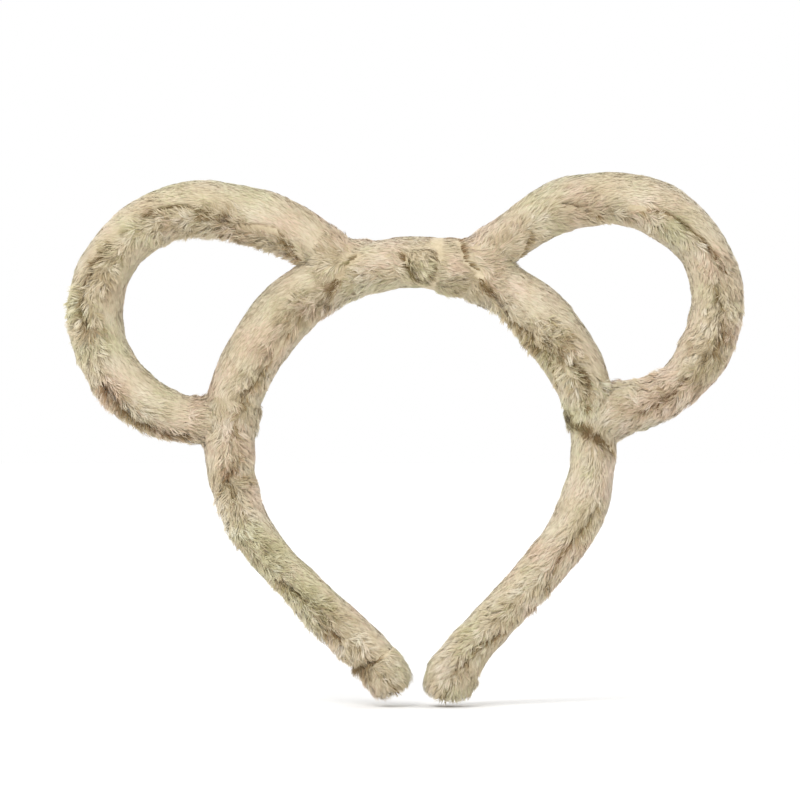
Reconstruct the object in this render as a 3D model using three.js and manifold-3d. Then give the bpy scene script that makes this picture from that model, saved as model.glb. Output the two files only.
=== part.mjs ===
// Plush headband with two open ring ears, as worn for a bear costume.
//
// A springy plastic strip arches over the head, wrapped in foam and covered by a fur sleeve. Each ear is a
// steel wire loop in its own foam and fur. The wire's two ends turn back along the strip as feet, bound to it
// with tape, and a fur wrap covers each root. The loop tilts where its wire comes out of the wraps, so each
// wrap has a round knuckle there that the ear's open ends turn on.
//
// Millimetres, +Z up, the wearer faces -Y. The origin is on the underside of the crown, where it rests on
// the head. Left means -X. The strip, foam and sleeve flex: they are split at a hinge on each side of the crown.

import * as THREE from "three";
import { mergeVertices } from "three/addons/utils/BufferGeometryUtils.js";
import Module from "manifold-3d";

const wasm = await Module();
wasm.setup();

// ---- Driving dimensions: millimetres and degrees ----

const archRadius = 63.4; // of the band's middle line, over the crown and temples
const crownHalf = 8.75; // half the thickness of the plush at the crown
const depthRatio = 1.06; // the plush is a little deeper, front to back, than it is thick
const gap = 0.3; // between pieces that lie on each other
const flexAngle = 16; // each arm springs out by this much
const hingeAngle = 13.5; // from the crown's middle to each flex hinge, along the arch

const strip = { half: 0.9, depthHalf: 3.2, endInset: 11 };
const wireRadius = 0.9;
const wireHeight = strip.half + gap + wireRadius; // of a foot's middle above the strip's
const tape = { length: 7, offset: 1, half: 3.3, depthHalf: 5.3, thickness: 0.5 };
const foamUnderFur = 3.2; // the fur's own thickness, from foam to pile tips
const wrapProud = 0.8; // how far a wrap stands out of the pile
const wrapDeep = 2.6; // how thick a wrap is
const capLength = 14;
const earHalf = 9.1; // half the thickness of an ear's plush
const knuckleClear = 0.7;
const wireBreak = 0.7; // from the point where the wire tilts to the end of either piece

// Half the thickness of the band's plush against the distance from the crown's middle.
const bandHalf = taper([[0, 8.3], [22, 8.8], [50, 10], [76, 9.6], [98, 8.3], [122, 7.7], [150, 7.2], [209, 7.4]]);

// What differs between the sides. Turns are given as for the left side, where a positive turn is to the left
// on the way from the crown; the right side mirrors them. A stretch is [length, turn].
const sides = {
  left: {
    sign: -1,
    band: [[149, 134.6], [42, 3], [18, -27]],
    upperRoot: 22.3, // angle along the arch where the ear's wire leaves the strip
    foot: 11.5,
    ear: [[2.5, 117.3], [49.6, 34.4], [117.8, 182], [9.63, 15], [2.5, 69.9]],
    knuckles: [8.9, 11.2], // from each foot's bend to the middle of its knuckle, along the wire
    knuckleRadius: [9.6, 8.9],
    rootAngles: [24.5, 81],
  },
  right: {
    sign: 1,
    band: [[144.1, 130.2], [39, 6.4], [24.3, -43.5]],
    upperRoot: 22.6,
    foot: 11.5,
    ear: [[2.5, 105], [51.4, 49.7], [108.3, 171], [12.37, -27], [2.5, 120.5]],
    knuckles: [7.3, 10.4],
    knuckleRadius: [9.6, 9.3],
    rootAngles: [24.5, 82],
  },
};

// ---- Colours ----

const looks = {
  fur: new THREE.MeshStandardMaterial({ color: 0xc4b596, roughness: 0.95, metalness: 0 }),
  foam: new THREE.MeshStandardMaterial({ color: 0xe9e6dc, roughness: 0.9, metalness: 0 }),
  strip: new THREE.MeshStandardMaterial({ color: 0xf2f2ee, roughness: 0.4, metalness: 0 }),
  wire: new THREE.MeshStandardMaterial({ color: 0xa9abad, roughness: 0.35, metalness: 1 }),
  tape: new THREE.MeshStandardMaterial({ color: 0xe4dfcf, roughness: 0.8, metalness: 0 }),
};

// ---- Curves ----

/** The value at a distance, by straight steps between [distance, value] points. */
function taper(points) {
  return (distance) => {
    const next = points.findIndex(([at]) => at > distance);
    if (next === 0) return points[0][1];
    if (next < 0) return points[points.length - 1][1];
    const [from, low] = points[next - 1];
    const [to, high] = points[next];
    return THREE.MathUtils.mapLinear(distance, from, to, low, high);
  };
}

/**
 * A flat line in the XZ plane, of arcs that run on from each other, each given as [length, turn in degrees].
 * It is kept as stations joined by straight lines, so that everything built along it keeps its distances.
 */
class ArcPath {
  constructor(start, heading, arcs, step = 11) {
    let angle = THREE.MathUtils.degToRad(heading);
    let from = start;
    this.length = 0;
    this.stations = [this.station(start, angle)];
    for (const [length, turn] of arcs) {
      const steps = Math.max(1, Math.ceil(length / step), Math.ceil(Math.abs(turn) / 25));
      for (let i = 1; i <= steps; i++) {
        const along = (length * i) / steps;
        const half = THREE.MathUtils.degToRad((turn * i) / steps) / 2;
        const chord = half === 0 ? along : (along * Math.sin(half)) / half;
        const point = new THREE.Vector3(Math.cos(angle + half), 0, Math.sin(angle + half));
        this.stations.push(this.station(point.multiplyScalar(chord).add(from), angle + 2 * half, along));
      }
      from = this.stations.at(-1).point;
      angle += THREE.MathUtils.degToRad(turn);
      this.length += length;
    }
  }

  station(point, angle, along = 0) {
    return { distance: this.length + along, point, across: new THREE.Vector3(Math.sin(angle), 0, -Math.cos(angle)) };
  }

  /** The point, and the direction across the line to its right, at a distance along it. */
  at(distance) {
    const found = this.stations.findIndex((station) => station.distance > distance);
    const next = found < 0 ? this.stations.length - 1 : Math.max(1, found);
    const [a, b] = [this.stations[next - 1], this.stations[next]];
    const t = (distance - a.distance) / (b.distance - a.distance);
    return { point: a.point.clone().lerp(b.point, t), across: a.across.clone().lerp(b.across, t) };
  }

  /** The distances of the stations between two distances, and of the two ends. */
  rings(from, to, step) {
    const inside = this.stations.map(({ distance }) => distance).filter((at) => at > from + 0.4 && at < to - 0.4);
    const ends = [from, ...inside, to];
    if (!step) return ends;
    return ends.flatMap((end, i) => {
      if (i === 0) return [end];
      const steps = Math.ceil((end - ends[i - 1]) / step - 1e-6);
      return Array.from({ length: steps }, (_, k) => THREE.MathUtils.lerp(ends[i - 1], end, (k + 1) / steps));
    });
  }
}

// The arch is set out so that the flat facet under the crown's middle, 3 degrees long, lies on the origin.
const archCentre = new THREE.Vector3(0, 0, (crownHalf - archRadius) * Math.cos(THREE.MathUtils.degToRad(1.5)));

/** A point on the arch, at an angle from the crown's middle towards one side, and a height above its middle line. */
function onArch(sign, angle, height = 0) {
  const turn = THREE.MathUtils.degToRad(angle);
  const radius = archRadius + height;
  return new THREE.Vector3(sign * radius * Math.sin(turn), 0, radius * Math.cos(turn)).add(archCentre);
}

const archLength = (angle) => archRadius * THREE.MathUtils.degToRad(angle);

/** Turns given for the left side, as they are on this side. */
const mirrored = (sign, arcs) => arcs.map(([length, turn]) => [length, -sign * turn]);

/** The heading at an angle from the crown, going away from it, or back towards it. */
const away = (sign, angle) => (sign < 0 ? 180 + angle : -angle);
const back = (sign, angle) => away(sign, angle) + 180;

const hingeDistance = archLength(hingeAngle);
const crownArc = [2 * hingeDistance, -2 * hingeAngle];
const crownPath = new ArcPath(onArch(-1, hingeAngle), back(-1, hingeAngle), [crownArc], archLength(3) + 0.01);

// ---- Solids ----

/** A closed geometry as a solid that can be cut and joined. */
function solidOf(geometry) {
  geometry.deleteAttribute("normal");
  geometry.deleteAttribute("uv");
  const merged = mergeVertices(geometry, 1e-4);
  const shape = { numProp: 3, vertProperties: merged.attributes.position.array, triVerts: merged.index.array };
  return new wasm.Manifold(new wasm.Mesh({ ...shape, triVerts: new Uint32Array(shape.triVerts) }));
}

/** A solid as a geometry to draw. */
function geometryOf(solid) {
  const { numProp, vertProperties, triVerts, numVert } = solid.getMesh();
  const points = new Float32Array(numVert * 3);
  for (let i = 0; i < numVert; i++) points.set(vertProperties.subarray(i * numProp, i * numProp + 3), i * 3);
  const geometry = new THREE.BufferGeometry();
  geometry.setAttribute("position", new THREE.BufferAttribute(points, 3));
  geometry.setIndex(new THREE.BufferAttribute(triVerts, 1));
  geometry.computeVertexNormals();
  return geometry;
}

/**
 * Bends a geometry along a path. Its Y axis is its length of 1, and its rings of points are put at the given
 * distances. X lies in the path's plane and takes half, Z lies along the part's Y and takes depthHalf.
 */
function bend(geometry, path, rings, half, depthHalf, offset = 0) {
  const valueAt = (value, distance) => (typeof value === "function" ? value(distance) : value);
  const position = geometry.attributes.position;
  const local = new THREE.Vector3();
  for (let i = 0; i < position.count; i++) {
    local.fromBufferAttribute(position, i);
    const distance = rings[Math.round((0.5 - local.y) * (rings.length - 1))];
    const { point, across } = path.at(distance);
    point.addScaledVector(across, local.x * valueAt(half, distance) + offset);
    point.y += local.z * valueAt(depthHalf, distance);
    position.setXYZ(i, point.x, point.y, point.z);
  }
  return solidOf(geometry);
}

/** A solid tube of flat facets along a path. Half and depthHalf are measured to the middle of its facets. */
function tube(path, from, to, half, depthHalf, { facets = 12, step, offset = 0 } = {}) {
  const size = 1 / Math.cos(Math.PI / facets);
  const rings = path.rings(from, to, step);
  const straight = new THREE.CylinderGeometry(size, size, 1, facets, rings.length - 1, false, Math.PI / facets);
  return bend(straight, path, rings, half, depthHalf, offset);
}

/** A flat strip along a path. */
function flatStrip(path, from, to, half, depthHalf, step) {
  const rings = path.rings(from, to, step);
  return bend(new THREE.BoxGeometry(2, 1, 2, 1, rings.length - 1, 1), path, rings, half, depthHalf);
}

function ball(centre, radius) {
  return solidOf(new THREE.SphereGeometry(radius, 14, 9).translate(centre.x, centre.y, centre.z));
}

const without = (solid, ...cuts) => cuts.reduce((left, cut) => left.subtract(cut), solid);

const part = new THREE.Group();

function add(name, solid, look) {
  const mesh = new THREE.Mesh(geometryOf(solid), looks[look]);
  mesh.name = name;
  part.add(mesh);
}

const furDepth = (half) => (distance) => half(distance) * depthRatio;
const foamHalf = (distance) => bandHalf(distance) - foamUnderFur;

// ---- Fur wraps: a ring round the band, let into its pile ----

/** A ring along a path, from under the pile to a little proud of it. Grow leaves room round it in the pile. */
function wrapRing(path, from, to, half, grow = 0) {
  const outer = (distance) => half(distance) + wrapProud + grow;
  const inner = (distance) => outer(distance) - wrapDeep - 2 * grow;
  const outside = tube(path, from - grow, to + grow, outer, furDepth(outer));
  return outside.subtract(tube(path, from - grow - 1, to + grow + 1, inner, furDepth(inner)));
}

// ---- The crown, between the two flex hinges ----

function addCrown() {
  const ends = [gap / 2, crownPath.length - gap / 2];
  const fromMiddle = (distance) => Math.abs(distance - hingeDistance);
  const half = (distance) => bandHalf(fromMiddle(distance));
  const foam = (distance) => foamHalf(fromMiddle(distance));
  const inside = { facets: 10 };
  const slot = flatStrip(crownPath, -1, crownPath.length + 1, strip.half + gap, strip.depthHalf + gap);
  const past = [ends[0] - 1, ends[1] + 1];
  const lining = (distance) => foam(distance) + gap;

  // A step of the path is centred on the crown's middle, so the wrap has a flat facet square under it.
  const wrapStretch = [hingeDistance - archLength(4.5), hingeDistance + archLength(10.5)];
  const onCrown = () => crownHalf - wrapProud;
  const room = wrapRing(crownPath, ...wrapStretch, onCrown, gap);

  add("crown_strip", flatStrip(crownPath, ...ends, strip.half, strip.depthHalf), "strip");
  add("crown_foam", tube(crownPath, ...ends, foam, furDepth(foam), inside).subtract(slot), "foam");
  const furTube = tube(crownPath, ...ends, half, furDepth(half));
  add("crown_sleeve", without(furTube, tube(crownPath, ...past, lining, furDepth(lining), inside), room), "fur");
  add("crown_wrap", wrapRing(crownPath, ...wrapStretch, onCrown), "fur");
}

// ---- One side: an arm of the band, and its ear ----

function addSide(side, { sign, band, upperRoot, foot, ear, knuckles, knuckleRadius, rootAngles }) {
  const armPath = new ArcPath(onArch(sign, 0), away(sign, 0), mirrored(sign, band));
  const armEnd = armPath.length;
  const armStart = hingeDistance + gap / 2;

  // The wire runs up the strip, turns out into the ear, goes round it and comes back along the strip.
  const wireRise = archRadius + wireHeight;
  const footTurn = THREE.MathUtils.radToDeg(foot / wireRise);
  const wirePath = new ArcPath(
    onArch(sign, upperRoot + footTurn, wireHeight),
    back(sign, upperRoot + footTurn),
    mirrored(sign, [[foot, -footTurn], ...ear, [foot, -footTurn]]),
    8.5,
  );
  const bendEnd = foot + ear[0][0];
  const turnPoints = [bendEnd + knuckles[0], wirePath.length - bendEnd - knuckles[1]];
  const wire = (from, to, grow = 0) =>
    tube(wirePath, from, to, wireRadius + grow, wireRadius + grow, { facets: 6 });

  // The crown as this arm meets it when it has sprung out: what lies there is cut back.
  const crownBlock = solidOf(
    new THREE.BoxGeometry(30, 40, 40)
      .translate(-sign * 15, 0, 0)
      .rotateY(THREE.MathUtils.degToRad(sign * (hingeAngle + flexAngle)))
      .translate(...onArch(sign, hingeAngle).toArray()),
  );

  addFeet(side, wire, turnPoints, wirePath.length);
  const tapes = addTapes(side, sign, armPath, rootAngles, foot);

  // The wire's way out through the foam, the pile and the wraps. It flares from where the wire tilts.
  const tiltSine = 0.55; // of a little over 25 degrees, with room to spare
  const flare = (turnPoint, outwards) => {
    const reach = (distance) => Math.abs(distance - turnPoint);
    const across = (distance) => wireRadius + gap + 0.3 * reach(distance);
    const along = (distance) => wireRadius + gap + tiltSine * reach(distance);
    const ends = [turnPoint, turnPoint + outwards * 12].sort((a, b) => a - b);
    return tube(wirePath, ...ends, across, along, { facets: 8 });
  };
  const channel = wire(-gap, turnPoints[0] + 0.5, gap)
    .add(wire(turnPoints[1] - 0.5, wirePath.length + gap, gap))
    .add(flare(turnPoints[0], 1))
    .add(flare(turnPoints[1], -1));

  // Strip
  const stripEnd = armEnd - strip.endInset;
  const roundedEnd = [[stripEnd - 3.5, 1], [stripEnd - 1.2, 0.75], [stripEnd, 0.35]];
  const stripTaper = taper([[0, 1], ...roundedEnd]);
  const stripDepth = (distance) => strip.depthHalf * stripTaper(distance);
  add(`${side}_strip`, flatStrip(armPath, armStart, stripEnd, strip.half, stripDepth).subtract(crownBlock), "strip");

  // Foam
  const slot = flatStrip(armPath, 0, stripEnd + gap, strip.half + gap, strip.depthHalf + gap);
  const foamTube = tube(armPath, armStart, armEnd - 8, foamHalf, furDepth(foamHalf), { facets: 10 });
  add(`${side}_foam`, without(foamTube, slot, channel, crownBlock, ...tapes), "foam");

  // Fur sleeve, with room for its wraps, its tip cap and the ear's wire
  const lining = (distance) => foamHalf(distance) + gap;
  const wraps = [];
  for (const [i, [name, angle]] of [["upper", rootAngles[0]], ["lower", rootAngles[1]]].entries()) {
    const reach = 6.5;
    const stretch = [archLength(angle) - reach, archLength(angle) + reach];
    wraps.push(wrapRing(armPath, ...stretch, bandHalf, gap));
    const clearOfPile = (distance) => bandHalf(distance) + gap;
    const pile = tube(armPath, 0, armEnd, clearOfPile, furDepth(clearOfPile));
    const knuckle = ball(wirePath.at(turnPoints[i]).point, knuckleRadius[i]).subtract(pile);
    const ring = wrapRing(armPath, ...stretch, bandHalf);
    add(`${side}_${name}_wrap`, without(ring.add(knuckle), channel), "fur");
  }
  const capHalf = (distance) => bandHalf(distance) + 0.2;
  const capSeat = [armEnd - capLength, armEnd - 5];
  const underCap = (distance) => bandHalf(distance) - 2.2;
  const capRoom = tube(armPath, capSeat[0] - gap, armEnd, 12, 12).subtract(
    tube(armPath, capSeat[0] - 1, armEnd + 1, underCap, furDepth(underCap)),
  );
  const furTube = tube(armPath, armStart, capSeat[1] - gap, bandHalf, furDepth(bandHalf));
  const bore = tube(armPath, 0, armEnd - 8 + gap, lining, furDepth(lining), { facets: 10 });
  add(`${side}_sleeve`, without(furTube, bore, channel, crownBlock, capRoom, ...wraps), "fur");

  // Tip cap: a cup over the sleeve's end, with a rounded end of its own
  const roundedCap = taper([[armEnd - 4.5, 1], [armEnd - 1.8, 0.84], [armEnd, 0.45]]);
  const capOuter = (distance) => capHalf(distance) * roundedCap(distance);
  const capInner = (distance) => underCap(distance) + gap;
  const cup = tube(armPath, capSeat[0], armEnd, capOuter, furDepth(capOuter), { step: 1.8 });
  add(`${side}_tip_cap`, cup.subtract(tube(armPath, capSeat[0] - 1, capSeat[1], capInner, furDepth(capInner))), "fur");

  // Ear
  const [upper, lower] = turnPoints;
  const knuckleRoom = turnPoints.map((distance, i) =>
    ball(wirePath.at(distance).point, knuckleRadius[i] + knuckleClear),
  );
  const furHalf = taper([[upper, earHalf], [lower - 30, earHalf], [lower - 6, knuckleRadius[1] - 1]]);
  const padHalf = (distance) => furHalf(distance) - foamUnderFur - 1.2;
  const padRoom = (distance) => padHalf(distance) + gap;
  const earTube = (half, options) => tube(wirePath, upper, lower, half, furDepth(half), options);
  add(`${side}_ear_wire`, wire(upper + wireBreak, lower - wireBreak), "wire");
  add(`${side}_ear_foam`, without(earTube(padHalf, { facets: 8 }), wire(upper, lower, gap), ...knuckleRoom), "foam");
  add(`${side}_ear_sleeve`, without(earTube(furHalf), earTube(padRoom, { facets: 8 }), ...knuckleRoom), "fur");
}

/** The wire's two ends, up to where the ear tilts. */
function addFeet(side, wire, [upper, lower], end) {
  add(`${side}_upper_wire_foot`, wire(0, upper - wireBreak), "wire");
  add(`${side}_lower_wire_foot`, wire(lower + wireBreak, end), "wire");
}

/** The tape that binds each foot to the strip, and returns the room that it needs in the foam. */
function addTapes(side, sign, armPath, rootAngles, foot) {
  const rooms = [];
  const { length, half, depthHalf, thickness } = tape;
  // The tape's middle is raised towards the foot. Across points outwards on the left side only.
  const offset = -sign * tape.offset;
  const middles = [archLength(rootAngles[0]) + foot / 2 + 1, archLength(rootAngles[1]) - foot / 2 - 3];
  for (const [i, name] of ["upper", "lower"].entries()) {
    const stretch = [middles[i] - length / 2, middles[i] + length / 2];
    const ring = (grow) => tube(armPath, stretch[0] - grow, stretch[1] + grow, half + grow, depthHalf + grow, { offset });
    const inner = tube(armPath, stretch[0] - 1, stretch[1] + 1, half - thickness, depthHalf - thickness, { offset });
    add(`${side}_${name}_tape`, ring(0).subtract(inner), "tape");
    rooms.push(ring(gap));
  }
  return rooms;
}

addCrown();
for (const [side, layout] of Object.entries(sides)) addSide(side, layout);

export default part;
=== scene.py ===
"""Looks of the plush headband with two ring ears: matted beige fur on padded tubes, in soft studio light."""

import math

import bpy
import numpy as np
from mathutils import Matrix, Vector


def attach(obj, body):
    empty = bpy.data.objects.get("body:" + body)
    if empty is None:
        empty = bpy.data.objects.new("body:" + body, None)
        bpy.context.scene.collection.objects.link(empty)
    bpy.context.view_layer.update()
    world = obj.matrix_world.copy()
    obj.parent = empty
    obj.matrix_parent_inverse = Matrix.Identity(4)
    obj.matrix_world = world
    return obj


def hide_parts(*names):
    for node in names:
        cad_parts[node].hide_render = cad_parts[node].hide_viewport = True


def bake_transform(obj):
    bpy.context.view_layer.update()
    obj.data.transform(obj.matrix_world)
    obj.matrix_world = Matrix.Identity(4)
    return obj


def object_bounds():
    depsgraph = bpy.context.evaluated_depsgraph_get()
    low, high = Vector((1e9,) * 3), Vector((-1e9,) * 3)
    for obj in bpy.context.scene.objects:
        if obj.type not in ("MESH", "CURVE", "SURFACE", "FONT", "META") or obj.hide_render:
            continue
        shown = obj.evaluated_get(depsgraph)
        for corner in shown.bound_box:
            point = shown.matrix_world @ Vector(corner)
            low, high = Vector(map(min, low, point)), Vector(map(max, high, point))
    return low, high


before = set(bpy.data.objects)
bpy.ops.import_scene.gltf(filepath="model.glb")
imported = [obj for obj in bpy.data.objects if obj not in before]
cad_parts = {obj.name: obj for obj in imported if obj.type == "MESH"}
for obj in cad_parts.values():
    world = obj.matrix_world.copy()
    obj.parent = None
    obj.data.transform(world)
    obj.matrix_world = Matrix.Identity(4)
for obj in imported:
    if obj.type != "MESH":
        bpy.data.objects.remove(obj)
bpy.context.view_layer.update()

MM = 0.001  # lengths are in millimetres until a mesh is made
FRONT = np.array([0.0, -1.0, 0.0])
rng = np.random.default_rng(11)

# ---- The tubes' middle lines, as in the CAD: arcs that run on from each other, in millimetres ----

ARCH_RADIUS = 63.4
CROWN_HALF = 8.75
DEPTH_RATIO = 1.06
HINGE_ANGLE = 13.5
WIRE_HEIGHT = 2.1  # from the band's middle line to the wire's
FOOT = 11.5  # each end of a wire, along the band
ARCH_Z = (CROWN_HALF - ARCH_RADIUS) * math.cos(math.radians(1.5))


# The two sides, in millimetres and degrees. Angles round a tube are 0 on its front and 90 on its outer rim.
#   band, ear: arcs, each a length and a turn
#   ..._half, ..._shift: half the thickness, and the move outwards, at distances along the path
#   ..._creases: the line of each, as (distance, angle), then its half width and its depth; the hair over a
#       crease is painted darker by its depth, as painted shade
#   ..._fur: see tube_fur
# In an ear's creases and fur, a distance is a share of the way from one root to the other.
SIDES = {
    "left": {
        "sign": -1,
        "band": [[149, 134.6], [42, 3], [18, -27]],
        "band_half": [
            [0, 8.9], [12, 9.3], [24, 9.2], [46, 10.9], [78, 10.2], [104, 9.1],
            [122, 7.9], [148, 7.2], [180, 8.0], [198, 8.0], [209, 7.0],
        ],
        "band_shift": [
            [0, 0], [10, -0.5], [36, 0.6], [60, -0.5], [84, 0.3], [112, 0.2], [146, -0.5], [209, -0.2],
        ],
        "band_creases": [
            ([(52, -30), (64, -38), (80, -22), (96, -10)], 1.1, 1.0),
            ([(104, -20), (112, 15), (118, 5)], 1.0, 1.1),
            ([(150, 30), (165, 10), (178, 25)], 1.0, 1.0),
            ([(189, 80), (193, 20), (195, -30)], 1.5, 1.7),
            ([(17, 30), (24, 5), (34, -50)], 1.2, 1.1),
        ],
        "band_fur": {
            "part": [[0, -30], [24, -35], [50, -25], [90, -12], [130, 20], [170, 25], [209, 10]],
            "wide": [[0, 40], [24, 50], [60, 34], [90, 38], [115, 60], [145, 48], [209, 60]],
            "rough": [[0, 0.5], [24, 0.9], [50, 0.75], [90, 0.85], [150, 0.8], [209, 0.9]],
            "lean": [[0, 40], [60, 30], [120, 35], [209, 15]],
            "lean_out": [[0, 12], [90, 10], [130, 40], [209, 40]],
        },
        "ear": [[2.5, 117.3], [49.6, 34.4], [117.8, 182], [9.63, 15], [2.5, 69.9]],
        "ear_half": [
            [22, 9.0], [40, 9.9], [76, 9.9], [100, 9.5], [122, 10.0],
            [150, 9.6], [170, 9.2], [182, 8.2], [194, 7.2],
        ],
        "ear_shift": [
            [24, 0], [40, 0.7], [76, 0], [96, -0.3], [112, 0.1], [130, 0], [160, -0.5], [184, -0.2],
        ],
        "ear_creases": [
            ([(0.02, -50), (0.1, -20), (0.2, -35), (0.33, 5), (0.4, 10)], 1.1, 1.2),
            ([(0.5, 10), (0.6, 30), (0.68, 15)], 1.0, 1.1),
            ([(0.8, 35), (0.9, 45), (1, 50)], 1.2, 1.6),
        ],
        "ear_fur": {
            "part": [[0, -50], [0.3, -50], [0.45, -5], [0.6, 8], [0.8, 32], [1, 50]],
            "wide": [[0, 55], [0.25, 45], [0.4, 60], [0.55, 40], [0.8, 38], [1, 45]],
            "rough": [[0, 0.9], [0.3, 0.95], [0.5, 0.85], [0.8, 0.85], [1, 0.6]],
            "lean": [[0, 45], [0.3, 60], [0.5, 30], [1, 12]],
            "lean_out": [[0, 12], [0.3, 20], [0.5, 50], [0.8, 50], [1, 30]],
        },
        "upper_root": 22.3,
        "roots": [24.5, 81],
        "slants": [0.0, 0.0],
        "knuckles": [8.9, 11.2],
        "saddle": [(-8, 8.9), 176, [[17, 2]]],
        "under_crown_wrap": 3.5,
    },
    "right": {
        "sign": 1,
        "band": [[144.1, 130.2], [39, 6.4], [24.3, -43.5]],
        "band_half": [
            [0, 8.9], [14, 10.3], [32, 8.7], [54, 11.2], [76, 10.1], [94, 8.4],
            [108, 8.1], [124, 9.0], [150, 8.1], [180, 7.8], [196, 9.0], [209, 7.8],
        ],
        "band_shift": [
            [0, 0], [40, 0], [56, -0.7], [86, 0.4], [120, 0.6], [150, 0], [172, 0], [190, 0.9], [209, -0.6],
        ],
        "band_creases": [
            ([(13.5, 70), (17.5, 15), (25, -5), (29, -27), (43, -56)], 1.2, 1.5),
            ([(43, -50), (55, -30), (66, -18), (76, 5), (86, -10)], 1.2, 1.6),
            ([(50, -60), (62, -30), (74, -50)], 1.0, 1.2),
            ([(88, -75), (93, -30), (98, 15), (101, 55)], 1.7, 2.3),
            ([(158, 75), (161, 50)], 1.0, 1.6),
            ([(120, 30), (138, 10), (152, 40)], 0.9, 0.8),
            ([(170, 45), (182, 15), (196, 5)], 1.0, 1.1),
        ],
        "band_fur": {
            "part": [[0, -20], [14, -60], [24, -45], [50, -30], [90, -5], [110, 20], [150, 10], [209, 0]],
            "wide": [[0, 40], [24, 50], [54, 42], [88, 70], [110, 40], [150, 50], [209, 60]],
            "rough": [[0, 0.6], [30, 0.9], [54, 1.0], [90, 1.0], [112, 0.35], [150, 0.6], [209, 0.8]],
            "lean": [[0, 40], [40, 50], [90, 40], [120, 12], [209, 20]],
            "lean_out": [[0, 15], [80, 20], [120, 14], [150, 28], [209, 30]],
        },
        "ear": [[2.5, 105], [51.4, 49.7], [108.3, 171], [12.37, -27], [2.5, 120.5]],
        "ear_half": [
            [22, 8.9], [32, 8.3], [48, 9.7], [72, 9.4], [86, 9.9],
            [106, 9.0], [122, 9.6], [142, 9.8], [158, 8.1], [172, 9.3],
        ],
        "ear_shift": [
            [24, 0], [32, -0.8], [46, 0.5], [60, 0.1], [90, -0.1],
            [120, 0.6], [142, -0.1], [158, 0.7], [180, 0.4],
        ],
        "ear_creases": [
            ([(0.02, -70), (0.08, -20)], 1.0, 1.1),
            ([(0.18, 0), (0.25, -40)], 0.9, 1.3),
            ([(0.33, -25), (0.42, -5), (0.52, 5), (0.6, 20)], 1.0, 1.2),
            ([(0.62, -10), (0.74, 20), (0.8, 10)], 0.9, 1.0),
            ([(0.85, 0), (0.97, 20)], 1.0, 1.2),
        ],
        "ear_fur": {
            "part": [[0, -10], [0.2, -15], [0.35, -45], [0.55, 0], [0.75, 10], [1, 0]],
            "wide": [[0, 45], [0.2, 40], [0.35, 42], [0.55, 50], [0.8, 60], [1, 70]],
            "rough": [[0, 0.6], [0.2, 0.45], [0.36, 0.95], [0.55, 0.7], [1, 0.8]],
            "lean": [[0, 30], [0.35, 65], [0.5, 20], [0.7, 10], [1, 14]],
            "lean_out": [[0, 20], [0.4, 15], [1, 14]],
        },
        "upper_root": 22.6,
        "roots": [24.5, 82],
        "slants": [0.0, 4.5],
        "knuckles": [7.3, 10.4],
        "saddle": [(6, 9.2), 5, [[10, -3], [12, 32]]],
        "under_crown_wrap": 9.5,
    },
}


def on_arch(sign, angle, height=0.0):
    """The x and z of a point on the crown's arch, at an angle from its top."""
    turn = math.radians(angle)
    radius = ARCH_RADIUS + height
    return np.array([sign * radius * math.sin(turn), radius * math.cos(turn) + ARCH_Z])


class Path:
    """A flat line in the XZ plane. sign says on which side its outer rim is."""

    def __init__(self, start, heading, arcs, sign):
        self.sign = sign
        s, x, z, a = [0.0], [start[0]], [start[1]], [math.radians(heading)]
        for length, turn in arcs:
            n = max(2, int(length / 0.4), int(abs(turn) / 3))
            s0, x0, z0, a0 = s[-1], x[-1], z[-1], a[-1]
            for i in range(1, n + 1):
                along = length * i / n
                half = math.radians(turn * i / n) / 2
                chord = along if half == 0 else along * math.sin(half) / half
                s.append(s0 + along)
                x.append(x0 + chord * math.cos(a0 + half))
                z.append(z0 + chord * math.sin(a0 + half))
                a.append(a0 + 2 * half)
        self.s, self.x, self.z, self.a = map(np.array, (s, x, z, a))
        self.length = s[-1]

    def at(self, s):
        """Middle, tangent and outward direction at distances s."""
        s = np.asarray(s, float)
        over = np.clip(s - self.length, 0, None) + np.clip(s, None, 0)
        a = np.interp(s, self.s, self.a)
        x = np.interp(s, self.s, self.x) + over * np.cos(a)
        z = np.interp(s, self.s, self.z) + over * np.sin(a)
        zero = np.zeros_like(x)
        middle = np.stack([x, zero, z], -1)
        tangent = np.stack([np.cos(a), zero, np.sin(a)], -1)
        out = -self.sign * np.stack([np.sin(a), zero, -np.cos(a)], -1)
        return middle, tangent, out

    def nearest(self, points):
        """The distance at which the line comes nearest to each point."""
        return self.s[np.argmin(np.hypot(points[:, :1] - self.x, points[:, 2:] - self.z), axis=1)]


class Shifted:
    """A path moved outwards by shift(s) millimetres."""

    def __init__(self, path, shift):
        self.path, self.shift = path, shift

    def at(self, s):
        middle, tangent, out = self.path.at(s)
        return middle + out * np.asarray(self.shift(s))[..., None], tangent, out


def mirrored(sign, arcs):
    """The arcs of a side, turned the other way on the right."""
    return [[length, -sign * turn] for length, turn in arcs]


def band_path(side):
    sign = side["sign"]
    return Path(on_arch(sign, 0), 180 if sign < 0 else 0, mirrored(sign, side["band"]), sign)


def wire_path(side):
    sign, root = side["sign"], side["upper_root"]
    turn = math.degrees(FOOT / (ARCH_RADIUS + WIRE_HEIGHT))
    away = 180 + root + turn if sign < 0 else -root - turn
    arcs = [[FOOT, -turn], *side["ear"], [FOOT, -turn]]
    return Path(on_arch(sign, root + turn, WIRE_HEIGHT), away + 180, mirrored(sign, arcs), sign)


def arch_length(angle):
    return ARCH_RADIUS * math.radians(angle)


# ---- Noise ----


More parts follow.
